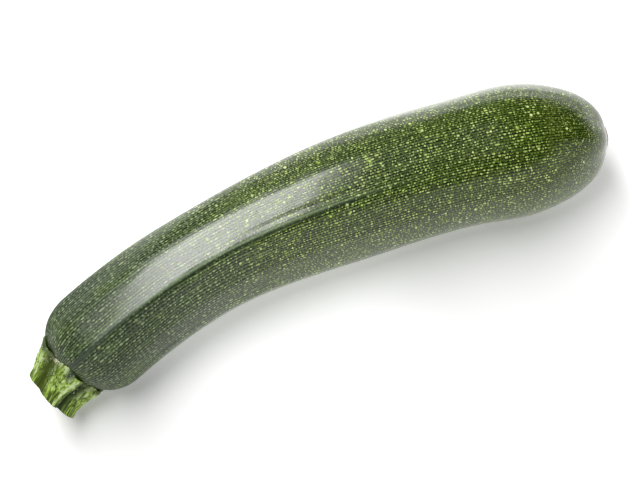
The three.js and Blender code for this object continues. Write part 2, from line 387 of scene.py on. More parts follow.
def heading(s):
    """Direction of the spine seen from above, in radians, before it is turned to lie along X."""
    neck = NECK_BEND * (1 - smoothstep((0, NECK_BEND_LENGTH), s))
    return np.radians(STEADY_BEND * (1 - s / FRUIT_LENGTH) + neck)


def spine_frames(places):
    """The spine's centre at each place along it, and its directions there.

    The directions are along the spine, to the inner side of the bend, and up.
    """
    step = 0.05
    fine = np.arange(0, FRUIT_LENGTH + step, step)
    angle = heading(fine + 0.5 * step)
    x = np.concatenate([[0], np.cumsum(step * np.cos(angle))])[: len(fine)]
    y = np.concatenate([[0], np.cumsum(step * np.sin(angle))])[: len(fine)]
    turn = -math.atan2(y[-1], x[-1])
    centre = np.empty((len(places), 3))
    flat_x, flat_y = np.interp(places, fine, x), np.interp(places, fine, y)
    centre[:, 0] = FRUIT_START[0] + flat_x * math.cos(turn) - flat_y * math.sin(turn)
    centre[:, 1] = FRUIT_START[1] + flat_x * math.sin(turn) + flat_y * math.cos(turn)
    centre[:, 2] = spine_height(places)
    angle = heading(places) + turn
    slope = (spine_height(places + step) - spine_height(places - step)) / (2 * step)
    along = np.stack([np.cos(angle), np.sin(angle), slope], 1)
    along /= np.linalg.norm(along, axis=1, keepdims=True)
    inner = np.stack([np.sin(angle), -np.cos(angle), np.zeros_like(angle)], 1)
    up = np.cross(inner, along)
    return centre, along, inner, up


def fruit_rings():
    """Place along the spine and mean radius of each ring, from the seat to the blossom tip."""
    rings = [(0.0, SEAT_RADIUS * i / SEAT_RINGS) for i in range(SEAT_RINGS)]
    for i in range(SHOULDER_RINGS):
        turn = 0.5 * math.pi * i / SHOULDER_RINGS
        radius = SEAT_RADIUS + (NECK_RADIUS - SEAT_RADIUS) * math.sin(turn)
        rings.append((SHOULDER_LENGTH * (1 - math.cos(turn)), radius))
    for i in range(BODY_RINGS):
        s = SHOULDER_LENGTH + (CAP_START - SHOULDER_LENGTH) * i / BODY_RINGS
        rings.append((s, float(body_radius(s))))
    turns = [0.5 * math.pi * i / CAP_RINGS for i in range(CAP_RINGS)]
    shares = [math.cos(turn) ** (2 / CAP_POWER) for turn in turns]
    shares = [share for share in shares if share * BELLY_RADIUS > SCAR_FROM]
    shares += [SCAR_FROM / BELLY_RADIUS * (1 - i / SCAR_RINGS) for i in range(SCAR_RINGS + 1)]
    for share in shares:
        s = CAP_START + CAP_LENGTH * (1 - share**CAP_POWER) ** (1 / CAP_POWER)
        rings.append((s, float(body_radius(s)) * share))
    return np.array(rings)


# ---- Fruit ---------------------------------------------------------------------------------------

def ridge_relief(grow, s, angle, from_ridge):
    """Height of the ridges as a fraction of the radius."""
    strong_wave = grow.ask("Strong wave", STRONG_WAVE)
    weak_wave = grow.ask("Weak wave", WEAK_WAVE)
    crest_height = grow.ask("Crest height", CREST_HEIGHT)
    pucker_depth = grow.ask("Pucker depth", PUCKER_DEPTH)
    strength = grow.smooth(*RIDGE_FADE, s, 1.0, RIDGE_LEFT)
    wave = grow.cos(angle * float(RIDGES))
    weak = weak_wave * grow.cos(angle * (2.0 * RIDGES))
    crest = crest_height * grow.hill(from_ridge, CREST_WIDTH)
    pucker = pucker_depth * grow.smooth(FRUIT_LENGTH - PUCKER_LENGTH, FRUIT_LENGTH, s)
    return strength * (strong_wave * wave + weak + crest) + pucker * wave


def grow_fruit(material):
    rings = fruit_rings()
    s, mean = rings[:, 0], rings[:, 1]
    centre, along, inner, up = spine_frames(s)
    columns = {"s": s, "mean": mean, "centre": centre, "along": along, "inner": inner, "up": up}
    piece = path_piece("courgette_fruit", columns)

    grow = Growth("grow_fruit")
    tube = grow.sweep(grow.ask("Sides", FRUIT_SIDES))
    s, mean, turn = grow.named("s"), grow.named("mean"), grow.named("turn")
    centre, along = grow.named("centre", "FLOAT_VECTOR"), grow.named("along", "FLOAT_VECTOR")
    inner, up = grow.named("inner", "FLOAT_VECTOR"), grow.named("up", "FLOAT_VECTOR")

    angle = turn * 360.0
    from_ridge = grow.wrapped(angle, RIDGE_STEP)
    around = RIDGE_ANGLE + s * (RIDGE_TWIST / FRUIT_LENGTH) + angle
    relief = ridge_relief(grow, s, angle, from_ridge)
    plain = mean * (1.0 + relief)
    place = grow.combine(s, plain * grow.cos(around), plain * grow.sin(around))

    # Uneven growth: broad swellings, shallow lengthwise flutes, small dents and one shallow groove.
    swelling = grow.ask("Swelling", 0.30) * (grow.noise(grow.scaled(place, 42, 17)) - 0.5)
    flutes = grow.ask("Flutes", 0.09) * (grow.noise(grow.scaled(place, 70, 3.4), 3.0) - 0.5)
    dents = grow.noise(grow.scaled(place, 11, 5) + (3.0, 7.0, 1.0)) - 0.5
    dents = grow.ask("Dents", 0.10) * dents
    beside_groove = grow.wrapped(angle, 360.0) * mean * math.radians(1) - GROOVE_AT
    groove = grow.hill(beside_groove, GROOVE_WIDTH) * grow.span(s, *GROOVE_SPAN)
    groove = groove * grow.ask("Groove", 0.22)
    away_from_poles = grow.smooth(1.0, 12.0, mean)
    radius = plain + away_from_poles * (swelling + flutes + dents - groove)

    offset = inner * (radius * grow.cos(around)) + up * (radius * grow.sin(around))
    reach = grow.math("MAXIMUM", 1.0 - s / SEAT_SLANT_LENGTH, 0.0)
    forward = radius * grow.cos(around - SEAT_SLANT_TOWARDS)
    slant = reach * reach * forward * math.tan(math.radians(SEAT_SLANT))
    button = grow.ask("Scar height", SCAR_HEIGHT) * grow.exp(-((radius / SCAR_RADIUS) ** 4.0))
    hollow = grow.ask("Scar hollow", SCAR_HOLLOW) * grow.hill(radius, SCAR_HOLLOW_RADIUS)
    cork = grow.noise(grow.scaled(place, 0.9), 4.0, 0.65) - 0.5
    cork = cork * grow.ask("Cork roughness", 0.55) * grow.smooth(*CORK_EDGE, mean)
    on_cap = grow.math("GREATER_THAN", s, CAP_START)
    point = centre + offset + along * (on_cap * (button - hollow + cork) - slant)
    x, y, z = grow.separate(point)
    point = grow.combine(x, y, grow.math("MAXIMUM", z, 0.0))

    skin = grow.store(tube, "place", place, "FLOAT_VECTOR")
    skin = grow.store(skin, "off_ridge", from_ridge * mean * math.radians(1))
    skin = grow.store(skin, "turn", grow.wrapped(turn, 1.0))
    skin = grow.add("GeometryNodeSetPosition", None, {"Geometry": skin, "Position": point * MM})
    skin = grow.close(skin, grow.named("mean"))
    return grow.run(piece, skin, material)


# ---- Stalk ---------------------------------------------------------------------------------------

def turned(vectors, axis, angles):
    """Each vector turned about an axis by its own angle."""
    cosine, sine = np.cos(angles)[:, None], np.sin(angles)[:, None]
    along_axis = (vectors @ axis)[..., None] * axis
    return vectors * cosine + np.cross(axis, vectors) * sine + along_axis * (1 - cosine)


def stalk_frames(shares):
    """The stalk's centre at each share of its length, and its directions there.

    The directions are away from the fruit, across, and over.
    """
    centre, along, inner, up = (v[0] for v in spine_frames(np.array([0.0])))
    tilt, slope = math.radians(SEAT_SLANT_TOWARDS), math.tan(math.radians(SEAT_SLANT))
    away = -along - slope * (math.cos(tilt) * inner + math.sin(tilt) * up)
    away /= np.linalg.norm(away)
    across = inner - away * (inner @ away)
    across /= np.linalg.norm(across)
    over = np.cross(away, across)
    lean, towards = math.radians(STALK_LEAN), math.radians(STALK_LEAN_TOWARDS)
    sideways = across * math.cos(towards) + over * math.sin(towards)
    hinge = np.cross(away, sideways)
    arc = STALK_LENGTH / lean
    out = STALK_GAP + arc * np.sin(lean * shares)
    aside = arc * (1 - np.cos(lean * shares))
    centres = centre + out[:, None] * away + aside[:, None] * sideways
    many = np.ones((len(shares), 1))
    return centres, *(turned(many * v, hinge, lean * shares) for v in (away, across, over))


def stalk_rings():
    """Share of the length, share of the radius and sinking of every ring.

    The rings go over the cut, down the side and under the foot.
    """
    rings = []
    for i in range(CUT_RINGS):
        share = i / CUT_RINGS
        rings.append((1.0, share, -STALK_CUT_DISH * (1 - share * share)))
    rings += [(1 - i / STALK_RINGS, 1.0, 0.0) for i in range(STALK_RINGS + 1)]
    rings += [(0.0, 1 - i / FOOT_RINGS, 0.0) for i in range(1, FOOT_RINGS + 1)]
    return np.array(rings)


def stalk_relief(grow, t, around, full, from_rib, share):
    """What stands out of the stalk's skin, in mm: rib edges, knobs, pods, streaks and bumps."""
    place = grow.combine(t * STALK_LENGTH, grow.cos(around) * full, grow.sin(around) * full)
    near_foot = grow.smooth(0.42, 0.05, t)
    middle = grow.span(t, 0.05, 0.30, 0.50, 0.95)
    off_cut = grow.smooth(0.95, 0.45, t)
    near_cut = grow.smooth(0.15, 0.75, t, 0.35, 1.0)
    edge = grow.hill(from_rib + STALK_EDGE_AT, STALK_EDGE_WIDTH) * grow.ask("Rib edge", 0.55)
    knobs = grow.cells(grow.scaled(place, 1.9, 1.7), 0.9)
    pods = grow.cells(grow.scaled(place, 3.4, 1.3) + (4.0, 2.0, 9.0), 0.9)
    bumps = grow.cells(grow.scaled(place, 1.3, 0.75) + (1.0, 8.0, 3.0), 1.0)
    streaks = grow.noise(grow.scaled(place, 15, 0.65)) - 0.5
    relief = grow.smooth(0.62, 0.10, knobs) * near_foot * grow.ask("Knobs", 0.75)
    relief = relief + grow.smooth(0.55, 0.15, pods) * middle * grow.ask("Pods", 0.40)
    relief = relief + grow.smooth(0.60, 0.20, bumps) * off_cut * grow.ask("Bumps", 0.24)
    relief = relief + streaks * near_cut * grow.ask("Streaks", 1.05)
    outside = grow.smooth(0.85, 1.0, share)
    return place, (edge + relief) * outside, outside * (relief + edge * 0.6)


def bristles(grow, skin):
    """Short stiff hairs that stand on the stalk's skin, most of them near its foot."""
    on_side = grow.math("GREATER_THAN", grow.named("share"), 0.9)
    near_foot = grow.smooth(0.75, 0.10, grow.named("t")) * on_side
    density = near_foot * grow.ask("Bristles per square metre", 700000.0)
    values = {"Mesh": skin, "Density": density, "Seed": 4}
    spots = grow.add("GeometryNodeDistributePointsOnFaces", None, values)
    values = {"Min": (-0.5, -0.5, -0.5), "Max": (0.5, 0.5, 0.5), "Seed": 11}
    loose = grow.add("FunctionNodeRandomValue", {"data_type": "FLOAT_VECTOR"}, values)
    values = {"Vector": spots.out("Normal") + loose}
    upright = grow.add("FunctionNodeAlignRotationToVector", {"axis": "Z"}, values)
    values = {
        "Vertices": 5,
        "Radius Top": 0.0,
        "Radius Bottom": grow.ask("Bristle radius", 0.13) * MM,
        "Depth": grow.ask("Bristle length", 0.75) * MM,
    }
    hair = grow.add("GeometryNodeMeshCone", None, values)
    values = {"Min": 0.5, "Max": 1.3, "Seed": 7}
    size = grow.add("FunctionNodeRandomValue", {"data_type": "FLOAT"}, values)
    values = {"Points": spots, "Instance": hair, "Rotation": upright, "Scale": size}
    placed = grow.add("GeometryNodeInstanceOnPoints", None, values)
    real = grow.add("GeometryNodeRealizeInstances", None, {"Geometry": placed})
    return grow.store(real, "bristle", 1.0)


def grow_stalk(material):
    rings = stalk_rings()
    centre, away, across, over = stalk_frames(rings[:, 0])
    columns = {"t": rings[:, 0], "share": rings[:, 1], "sinking": rings[:, 2]}
    directions = {"centre": centre, "away": away, "across": across, "over": over}
    piece = path_piece("courgette_stalk", {**columns, **directions})

    grow = Growth("grow_stalk")
    tube = grow.sweep(grow.ask("Sides", STALK_SIDES))
    t, share, sinking = grow.named("t"), grow.named("share"), grow.named("sinking")
    centre, away, across, over = (grow.named(name, "FLOAT_VECTOR") for name in directions)

    angle = grow.named("turn") * 360.0
    from_rib = grow.wrapped(angle, RIDGE_STEP)
    phase = grow.wrapped(angle, 360.0)
    crowding = t * grow.sin(angle) * grow.ask("Crowding", STALK_CROWDING)
    around = angle + STALK_RIB_ANGLE - crowding + (1.0 - t) * STALK_TWIST
    skewed = from_rib * (2 / RIDGE_STEP)
    skewed = skewed + (1.0 - skewed * skewed) * STALK_RIB_SKEW
    wave = grow.cos(skewed * 90.0)
    rib = (wave * wave + STALK_VALLEY_ROUNDING) ** (0.5 * STALK_RIB_POWER)
    flare = 1.0 + grow.ask("Flare", STALK_FLARE) * (1.0 - t) * (1.0 - t)
    curl = grow.math("MAXIMUM", 1.0 - t / STALK_LIP_LENGTH, 0.0)
    crack = grow.hill(from_rib + STALK_CRACK_AT, STALK_CRACK_WIDTH)
    wide_crack = grow.hill(phase - STALK_WIDE_CRACK_AT, STALK_WIDE_CRACK_WIDTH)
    crack = grow.math("MAXIMUM", crack * STALK_CRACK_SHARE, wide_crack * STALK_WIDE_CRACK_SHARE)
    lip = 1.0 - curl * curl * crack * grow.ask("Lip", STALK_LIP)
    valley = 1.0 - (1.0 - rib) * grow.ask("Valley depth", STALK_VALLEY_DEPTH)
    full = flare * lip * valley * STALK_RADIUS
    place, stands_out, relief = stalk_relief(grow, t, around, full, from_rib, share)
    radius = share * (full + stands_out)

    # The foot lies on the fruit's shoulder, except in a crack beside each rib's edge.
    hugging = grow.math("MINIMUM", radius, FOOT_HUG_LIMIT)
    beyond = grow.math("MAXIMUM", hugging - SEAT_RADIUS, 0.0) / (NECK_RADIUS - SEAT_RADIUS)
    fall = SHOULDER_LENGTH * (1.0 - grow.math("SQRT", 1.0 - beyond * beyond))
    crack = crack * grow.ask("Crack", 2.4)
    closing = grow.ask("Closing", 2.1) * beyond
    at_foot = (1.0 - t) ** FOOT_HUG_FADE
    hug = (fall * grow.ask("Foot hug", FOOT_HUG) + closing - crack * beyond) * at_foot
    cut = t * radius * grow.cos(around - STALK_CUT_TOWARDS) * math.tan(math.radians(STALK_CUT_SLANT))
    pith = grow.noise(grow.scaled(place, 1.1) * share, 3.0) - 0.5
    rough_cut = pith * grow.ask("Cut roughness", 0.35) * grow.math("GREATER_THAN", t, 0.999)
    offset = across * (radius * grow.cos(around)) + over * (radius * grow.sin(around))
    point = centre + offset + away * (sinking + cut - hug + rough_cut)

    skin = grow.store(tube, "place", place, "FLOAT_VECTOR")
    skin = grow.store(skin, "phase", phase)
    skin = grow.store(skin, "rib", rib)
    skin = grow.store(skin, "relief", relief)
    skin = grow.add("GeometryNodeSetPosition", None, {"Geometry": skin, "Position": point * MM})
    skin = grow.close(skin, grow.named("share"))
    return grow.run(piece, grow.join(skin, bristles(grow, skin)), material)


# ---- Materials -----------------------------------------------------------------------------------

def rgb(red, green, blue):
    return (red, green, blue, 1.0)


def new_material(name):
    material = bpy.data.materials.new(name)
    material.use_nodes = True
    material.node_tree.nodes.clear()
    return material, Nodes(material.node_tree)


def finish_material(nodes, surface):
    nodes.add("ShaderNodeOutputMaterial", None, {"Surface": surface})


def attribute(nodes, name, output="Fac"):
    return nodes.add("ShaderNodeAttribute", {"attribute_name": name}).out(output)


DEEP_GREEN = rgb(0.007, 0.017, 0.0001)
LEAF_GREEN = rgb(0.066, 0.110, 0.003)
BRIGHT_GREEN = rgb(0.100, 0.180, 0.003)
BLOOM_GREEN = rgb(0.017, 0.036, 0.003)
NECK_GREEN = rgb(0.054, 0.104, 0.003)
BEAD_GREEN = rgb(0.220, 0.330, 0.050)
BEAD_PALE = rgb(0.600, 0.750, 0.210)
FLECK_PALE = rgb(0.770, 0.910, 0.340)
FLECK_YELLOW = rgb(0.690, 0.840, 0.220)
FLECK_GREY = rgb(0.470, 0.600, 0.340)
RIDGE_GREEN = rgb(0.042, 0.056, 0.040)
DARK_LINES_AND_SHADE = rgb(0.006, 0.014, 0.002)
PALE_LINES_AND_HIGHLIGHT = rgb(0.230, 0.300, 0.180)
CORK = rgb(0.220, 0.095, 0.055)
CORK_DARK = rgb(0.030, 0.009, 0.005)
CORK_PALE = rgb(0.480, 0.380, 0.240)
BLOOM_GREY = rgb(0.070, 0.100, 0.065)

# Flecks of each size: how far apart they are in mm, and in shares of that distance the size of the
# smallest one, how much larger the largest one is, how soft an edge is, and a shift of the pattern.
NECK_BEADS = {"spacing": 1.7, "smallest": 0.18, "growth": 0.14, "softness": 0.08}
BELLY_BEADS = {"spacing": 1.25, "smallest": 0.20, "growth": 0.16, "softness": 0.09}
TIP_FLECKS = {"spacing": 0.60, "smallest": 0.30, "growth": 0.20, "softness": 0.10}
MIDDLING_FLECKS = {"spacing": 2.7, "smallest": -0.03, "growth": 0.25, "softness": 0.05}
MIDDLING_FLECKS["shift"] = (7, 3, 5)
LARGE_FLECKS = {"spacing": 3.8, "smallest": -0.06, "growth": 0.20, "softness": 0.05}
NECK_ROWS = 112                    # rows of beads round the neck
BELLY_ROWS = 150

# Places along the fruit, in mm from the stalk. Of two, a thing is absent at the first and full at the
# second. Of four, it begins, is full, fades and is gone.
BARE_STRIP = (34.0, 12.0)
CREST_HIGHLIGHT_SPAN = (14.0, 40.0, 80.0, 135.0)
RIDGE_SHADE_SPAN = (25.0, 50.0, 90.0, 150.0)
BELLY_BEADS_FROM = (66.0, 80.0)
LOOSE_FLECKS_AT_TIP = (CAP_START + 14.0, CAP_START + 26.0)
LOOSE_FLECKS_AT_SEAT = (5.0, 1.0)
HALOES = (40.0, 110.0)
BLOOM = (75.0, 10.0)
NECK_PATCHES = (100.0, 30.0)
LINED = (200.0, 85.0)
GREY_BEADS = (85.0, 30.0)
STRONG_BEADS = (25.0, 75.0)
STRONG_FLECKS = (30.0, 90.0)
TIP = (CAP_START, FRUIT_LENGTH - 12.0)
DULL_NECK = (75.0, 35.0)
SMOOTH_SKIN = (0.0, 58.0)
WAX = (0.0, 48.0)
WAXIEST_AT = 52.0


def ridge_lines(nodes, s, off_ridge):
    """Along each ridge: a bare strip near the stalk, and a painted highlight and painted shade line
    further on.
    """
    bare = nodes.hill(off_ridge + 0.3, 0.8) * nodes.smooth(*BARE_STRIP, s)
    painted_crest_highlight = nodes.hill(off_ridge - 0.25, 0.42) * nodes.span(s, *CREST_HIGHLIGHT_SPAN)
    painted_ridge_shade = nodes.hill(off_ridge + 0.65, 0.36) * nodes.span(s, *RIDGE_SHADE_SPAN)
    return bare, painted_crest_highlight, painted_ridge_shade


def flecks(nodes, place, spacing, smallest, growth, softness, shift=(0, 0, 0), **pattern):
    """Where flecks of one size lie, how strong each is, and how far inside its edge a point is."""
    cells = nodes.cells(place / spacing + shift, **pattern)
    size, tone, _ = nodes.separate(cells.out("Color"))
    inside = size * growth + smallest - cells
    return nodes.smooth(0.0, softness, inside), tone, inside


def beads(nodes, s, row, density, spacing, smallest, growth, softness):
    """Where the flecks of rows along the fruit lie, one row to each whole number, and their tone."""
    number = nodes.math("FLOOR", row)
    slide = nodes.add("ShaderNodeTexWhiteNoise", {"noise_dimensions": "1D"}, {"W": number})
    run = s / spacing
    crowding = nodes.noise(nodes.combine(run * 0.6, number * 7.3, 0.0), 1.0) * 2.0
    place = nodes.combine(run + crowding + slide * 40.0, row, 0.0)
    smallest = density * 0.02 + smallest
    rows = flecks(nodes, place, 1.0, smallest, growth, softness, randomness=0.45, dimensions="2D")
    return rows[:2]


def bead_rows(nodes, place, s, turn):
    """The finest flecks: rows of beads, and more rows round the belly than round the neck.

    Gives where they lie, their tone, a wave that is 1 between two rows and -1 on a row, and where the
    belly's rows are.
    """
    density = nodes.smooth(0.30, 0.60, nodes.noise(nodes.scaled(place, 55, 5.5)))
    wander = nodes.noise(nodes.scaled(place, 30, 8)) * 2.0
    neck_row = turn * float(NECK_ROWS) + wander
    belly_row = turn * float(BELLY_ROWS) + wander
    on_belly = nodes.smooth(*BELLY_BEADS_FROM, s)
    neck_beads, neck_tone = beads(nodes, s, neck_row, density, **NECK_BEADS)
    belly_beads, belly_tone = beads(nodes, s, belly_row, density, **BELLY_BEADS)
    fine = nodes.mix(on_belly, neck_beads, belly_beads)
    tone = nodes.mix(on_belly, neck_tone, belly_tone)
    between_rows = nodes.mix(on_belly, nodes.cos(neck_row * 360.0), nodes.cos(belly_row * 360.0))
    return fine, tone, between_rows, on_belly


def ground_colour(nodes, s, between_rows, on_belly, cloud, lines):
    """The green under the flecks: paler on the rows, darker and finely lined between them."""
    light = nodes.smooth(0.5, -0.9, between_rows * 0.8 - (cloud - 0.5))
    colour = nodes.blend(light, DEEP_GREEN, LEAF_GREEN)
    colour = nodes.blend(nodes.smooth(*BLOOM, s), colour, BLOOM_GREEN)
    patches = nodes.smooth(0.46, 0.58, cloud) * nodes.smooth(*NECK_PATCHES, s)
    colour = nodes.blend(patches * 0.85, colour, NECK_GREEN)
    lined = nodes.smooth(*LINED, s)
    layers = [
        (nodes.smooth(-0.4, 0.7, between_rows + on_belly * 0.2), 0.94, DARK_LINES_AND_SHADE),
        (nodes.smooth(0.54, 0.38, lines), 0.85, DARK_LINES_AND_SHADE),
        (nodes.smooth(0.52, 0.66, lines), 0.20, PALE_LINES_AND_HIGHLIGHT),
        (nodes.smooth(0.1, -1.0, between_rows), 0.13, FLECK_GREY),
    ]
    for where, strength, layer_colour in layers:
        colour = nodes.blend(where * lined * strength, colour, layer_colour)
    return colour


def blossom_scar(nodes, place, from_tip, on_tip, cloud):
    """Where the corky scar is, its colour and its grain."""
    grain = nodes.noise(nodes.scaled(place, 0.7), 4.0, 0.6)
    ragged = from_tip + (grain - 0.5) * 3.6
    colour = nodes.blend(nodes.smooth(0.42, 0.56, grain), CORK_DARK, CORK)
    rim = nodes.smooth(3.2, 4.6, ragged) * nodes.smooth(0.50, 0.58, cloud)
    rim = rim + nodes.hill(ragged - 4.5, 0.5) * 0.6
    colour = nodes.blend(rim, colour, CORK_PALE)
    return on_tip * nodes.smooth(5.0, 4.2, ragged), colour, grain


def courgette_skin():
    material, nodes = new_material("courgette_skin")
    place = attribute(nodes, "place", "Vector")
    turn = attribute(nodes, "turn")
    s, y, z = nodes.separate(place)
    cloud = nodes.noise(nodes.scaled(place, 14, 5) + (5.0, 1.0, 2.0), 3.0)
    lines = nodes.noise(nodes.scaled(place, 40, 0.9), 3.0, 0.6)
    bare, painted_crest_highlight, painted_ridge_shade = ridge_lines(nodes, s, attribute(nodes, "off_ridge"))

    # Flecks: beads in rows, loose ones at both ends, and larger and yellower ones scattered over them.
    wobble = nodes.noise(nodes.scaled(place, 0.6)).out("Color")
    wobbly = place + (wobble - 0.5) * 0.4
    bend = nodes.noise(nodes.scaled(place, 1.3) + (2.0, 6.0, 4.0)).out("Color")
    bent = place + (bend - 0.5) * 1.9
    fine, fine_tone, between_rows, on_belly = bead_rows(nodes, place, s, turn)
    loose, loose_tone, _ = flecks(nodes, wobbly, **TIP_FLECKS)
    at_ends = nodes.smooth(*LOOSE_FLECKS_AT_TIP, s) + nodes.smooth(*LOOSE_FLECKS_AT_SEAT, s)
    fine = nodes.mix(at_ends, fine, loose)
    fine_tone = nodes.mix(at_ends, fine_tone, loose_tone)
    middling, middling_tone, _ = flecks(nodes, wobbly, **MIDDLING_FLECKS)
    large, large_tone, inside_large = flecks(nodes, bent, **LARGE_FLECKS)
    halo = nodes.smooth(-0.20, 0.02, inside_large) * nodes.smooth(*HALOES, s)

    colour = ground_colour(nodes, s, between_rows, on_belly, cloud, lines)
    colour = nodes.blend(halo * 0.7, colour, BRIGHT_GREEN)
    # Painted shade: a dark line along the flank just beside each ridge, where it faces away from the
    # light.
    colour = nodes.blend(painted_ridge_shade, colour, DARK_LINES_AND_SHADE)
    colour = nodes.blend(bare * 0.8, colour, RIDGE_GREEN)
    flecked = 1.0 - nodes.math("MAXIMUM", bare, painted_ridge_shade * 0.85)
    beaded = flecked * nodes.smooth(*STRONG_BEADS, s, 0.58, 1.0)
    flecked = flecked * nodes.smooth(*STRONG_FLECKS, s, 0.25, 1.0)
    bead_colour = nodes.blend(fine_tone, BEAD_GREEN, BEAD_PALE)
    bead_colour = nodes.blend(nodes.smooth(*GREY_BEADS, s) * 0.8, bead_colour, FLECK_GREY)
    colour = nodes.blend(fine * (0.25 + fine_tone * 0.70) * beaded, colour, bead_colour)
    colour = nodes.blend(middling * (0.55 + middling_tone * 0.45) * flecked, colour, FLECK_PALE)
    colour = nodes.blend(large * (0.50 + large_tone * 0.45) * flecked, colour, FLECK_YELLOW)
    # Painted highlight: a pale line along each ridge's crest.
    colour = nodes.blend(painted_crest_highlight * 0.8, colour, PALE_LINES_AND_HIGHLIGHT)

    # The corky scar where the blossom was, in a grey ring.
    from_tip = nodes.math("SQRT", y * y + z * z)
    on_tip = nodes.smooth(*TIP, s)
    scar, cork, grain = blossom_scar(nodes, place, from_tip, on_tip, cloud)
    colour = nodes.blend(on_tip * nodes.smooth(9.0, 4.5, from_tip) * 0.65, colour, BLOOM_GREY)
    colour = nodes.blend(scar, colour, cork)

    # Wax: satin on the neck, glossier on the belly, broken by the flecks and by fine lengthwise lines.
    pores = nodes.noise(nodes.scaled(place, 0.75))
    dull = nodes.smooth(*DULL_NECK, s) * nodes.span(turn, 0.13, 0.22, 0.40, 0.50)
    dull = nodes.math("MAXIMUM", dull, painted_ridge_shade)
    spots = nodes.math("MAXIMUM", middling, fine * 0.6)
    roughness = nodes.smooth(*SMOOTH_SKIN, s, 0.50, 0.20) + scar * 0.4 + (pores - 0.5) * 0.10
    roughness = roughness + dull * 0.4 + spots * 0.12
    wax = nodes.smooth(*WAX, s, 0.0, 0.44) + nodes.hill(s - WAXIEST_AT, 16.0) * 0.08
    wax = wax * (1.0 - scar) * (1.0 - dull) * (1.0 - spots * 0.6)
    height = fine * 0.45 + large * 0.4 + lines * 1.1 + pores * 1.3 + scar * grain * 3.0
    bump = nodes.add("ShaderNodeBump", None, {"Strength": 1.0, "Distance": 0.00003, "Height": height})
    values = {
        "Base Color": colour,
        "Roughness": roughness,
        "Coat Weight": wax,
        "Coat Roughness": 0.12,
        "IOR": 1.42,
        "Normal": bump,
    }
    finish_material(nodes, nodes.add("ShaderNodeBsdfPrincipled", None, values))
    return material


STALK_GREEN = rgb(0.145, 0.220, 0.018)
STALK_BRIGHT = rgb(0.400, 0.590, 0.090)
STALK_HIGHLIGHT_PAINT = rgb(0.560, 0.680, 0.340)
STALK_SHADE_PAINT = rgb(0.018, 0.038, 0.001)
STALK_OLIVE_AND_SHADE = rgb(0.052, 0.082, 0.001)
STALK_CREAM = rgb(0.620, 0.600, 0.430)
BRISTLE_PALE = rgb(0.700, 0.760, 0.560)

# Things round the stalk: degrees from its uppermost rib, and how wide they are.
OPEN_VALLEY = (RIDGE_STEP / 2, 20.0)
EDGE_HIGHLIGHT = (-17.0, 1.4)
SIDE_CRACK = (60.0, 22.0)
WIDE_CRACK = (STALK_WIDE_CRACK_AT, STALK_WIDE_CRACK_WIDTH)
DRY_STRIP = (27.0, 10.0)
SKIN_TONGUE = (-5.0, 7.0)


def stalk_fibre():
    material, nodes = new_material("stalk_fibre")
    place = attribute(nodes, "place", "Vector")
    names = ("rib", "relief", "phase", "t", "share", "bristle")
    rib, relief, phase, t, share, bristle = (attribute(nodes, name) for name in names)

    def near(position, width, wobble=0.0):
        return nodes.hill(phase - position + wobble, width)

    streaks = nodes.noise(nodes.scaled(place, 5, 0.38))
    blotches = nodes.noise(nodes.scaled(place, 3.0, 1.8), 3.0)
    colour = nodes.blend(nodes.smooth(0.40, 0.60, streaks), STALK_GREEN, STALK_BRIGHT)
    colour = nodes.blend(nodes.smooth(0.50, 0.68, blotches) * 0.6, colour, STALK_OLIVE_AND_SHADE)
    # Raised knobs, pods and streaks are painted paler, as a highlight.
    colour = nodes.blend(nodes.smooth(0.20, 0.45, relief) * 0.80, colour, STALK_HIGHLIGHT_PAINT)
    # Hollows between them are painted darker, as shade.
    colour = nodes.blend(nodes.smooth(0.13, -0.08, relief) * 0.85, colour, STALK_SHADE_PAINT)

    # Painted shade in the valleys between the ribs: olive in the open one, and dark in the deep ones.
    open_valley = near(*OPEN_VALLEY)
    deep_valley_shade = nodes.smooth(0.75, 0.30, rib)
    colour = nodes.blend(nodes.smooth(0.92, 0.60, rib) * open_valley, colour, STALK_OLIVE_AND_SHADE)
    colour = nodes.blend(deep_valley_shade * (1.0 - open_valley) * 0.92, colour, STALK_SHADE_PAINT)

    # A painted highlight down the raised edge of the uppermost rib.
    crest = near(*EDGE_HIGHLIGHT, (blotches - 0.5) * 6.0) * nodes.smooth(0.02, 0.12, t)
    colour = nodes.blend(crest * 0.8, colour, STALK_HIGHLIGHT_PAINT)

    # Where the stalk meets the fruit: painted shadow in the cracks, a dry strip, and a tongue of the
    # fruit's own skin.
    crack = (near(*SIDE_CRACK) + near(*WIDE_CRACK)) * nodes.smooth(0.16, 0.05, t)
    colour = nodes.blend(crack * 0.9, colour, STALK_SHADE_PAINT)
    dry = nodes.smooth(0.08, 0.03, t) * near(*DRY_STRIP) * nodes.smooth(0.40, 0.52, streaks)
    colour = nodes.blend(dry, colour, STALK_CREAM)
    tongue = nodes.smooth(0.24, 0.02, t) * near(*SKIN_TONGUE)
    colour = nodes.blend(tongue, colour, RIDGE_GREEN)

    cut = nodes.smooth(0.995, 1.0, t) * nodes.smooth(1.0, 0.97, share)
    colour = nodes.blend(cut * 0.8, colour, STALK_CREAM)
    colour = nodes.blend(bristle, colour, BRISTLE_PALE)
    height = streaks * 1.6 + blotches * 0.6
    bump = nodes.add("ShaderNodeBump", None, {"Strength": 0.8, "Distance": 0.00010, "Height": height})
    values = {"Base Color": colour, "Roughness": 0.58, "IOR": 1.40, "Normal": bump}
    finish_material(nodes, nodes.add("ShaderNodeBsdfPrincipled", None, values))
    return material


FLOOR_PAINT = rgb(0.92, 0.92, 0.92)
FLOOR_GLOW = 0.38
FLOOR_PAINTED_SHADOW = 0.28             # how much dimmer the glow is in front of the courgette


